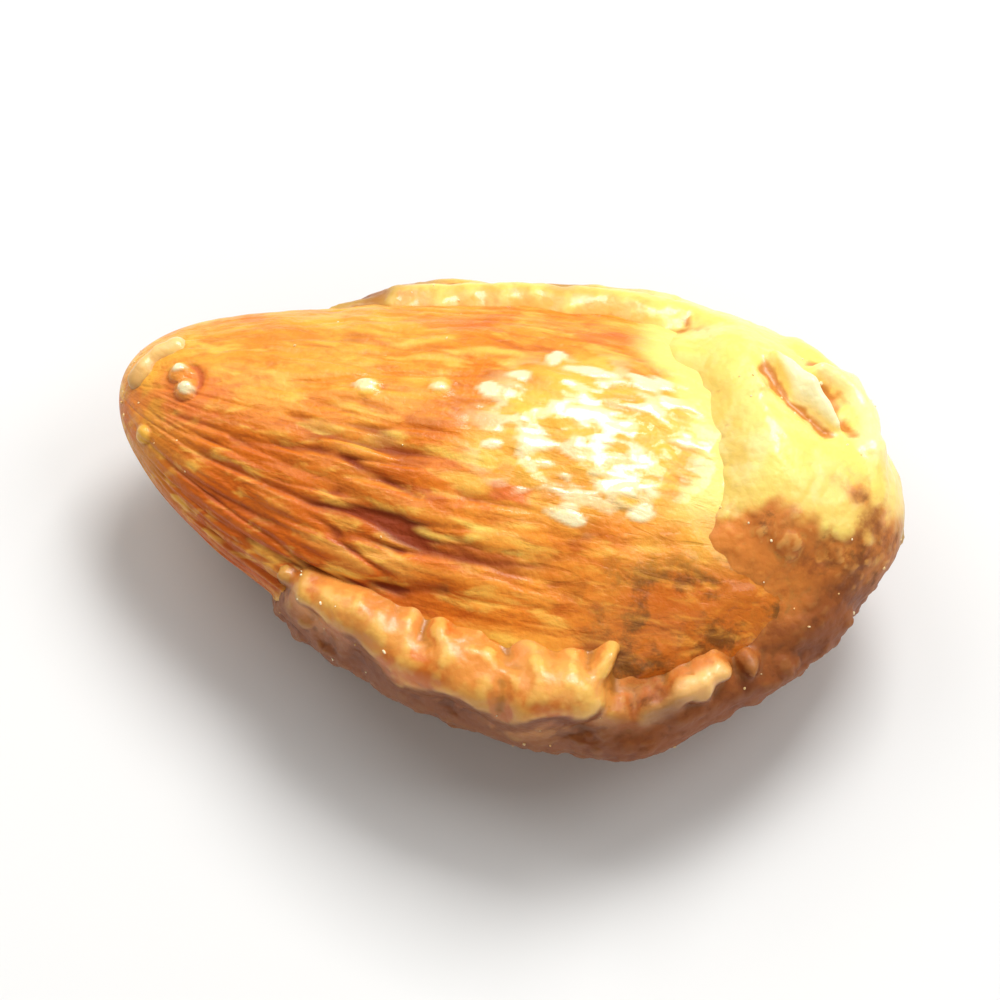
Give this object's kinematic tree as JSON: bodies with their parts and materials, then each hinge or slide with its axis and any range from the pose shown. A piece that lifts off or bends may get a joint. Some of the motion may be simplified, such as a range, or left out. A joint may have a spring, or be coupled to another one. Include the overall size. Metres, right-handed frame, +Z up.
{
  "type": "toffee almond",
  "caption": "Whole almond in its ridged skin, lying on one broad side, in a lumpy set coat of butter toffee that leaves the skin bare in a window on top and at the tip.",
  "frame": {"origin": "centre of the bounding box, on the surface that the almond lies on", "axes": "+X along the length from the tip to the blunt end, +Y across the width towards the flatter edge, +Z up through the thickness, out of the bare window"},
  "size_m": [0.028, 0.0183, 0.01],
  "materials": {
    "almond_skin": "roasted brown almond skin with fine lengthwise ridges and a thin gloss of syrup",
    "toffee": "set butter toffee, pale and cloudy on the lumps, amber in the hollows, glossy, with sugar grains"
  },
  "bodies": {
    "root": {"almond_kernel": "almond_skin", "toffee_coat": "toffee"}
  },
  "joints": []
}
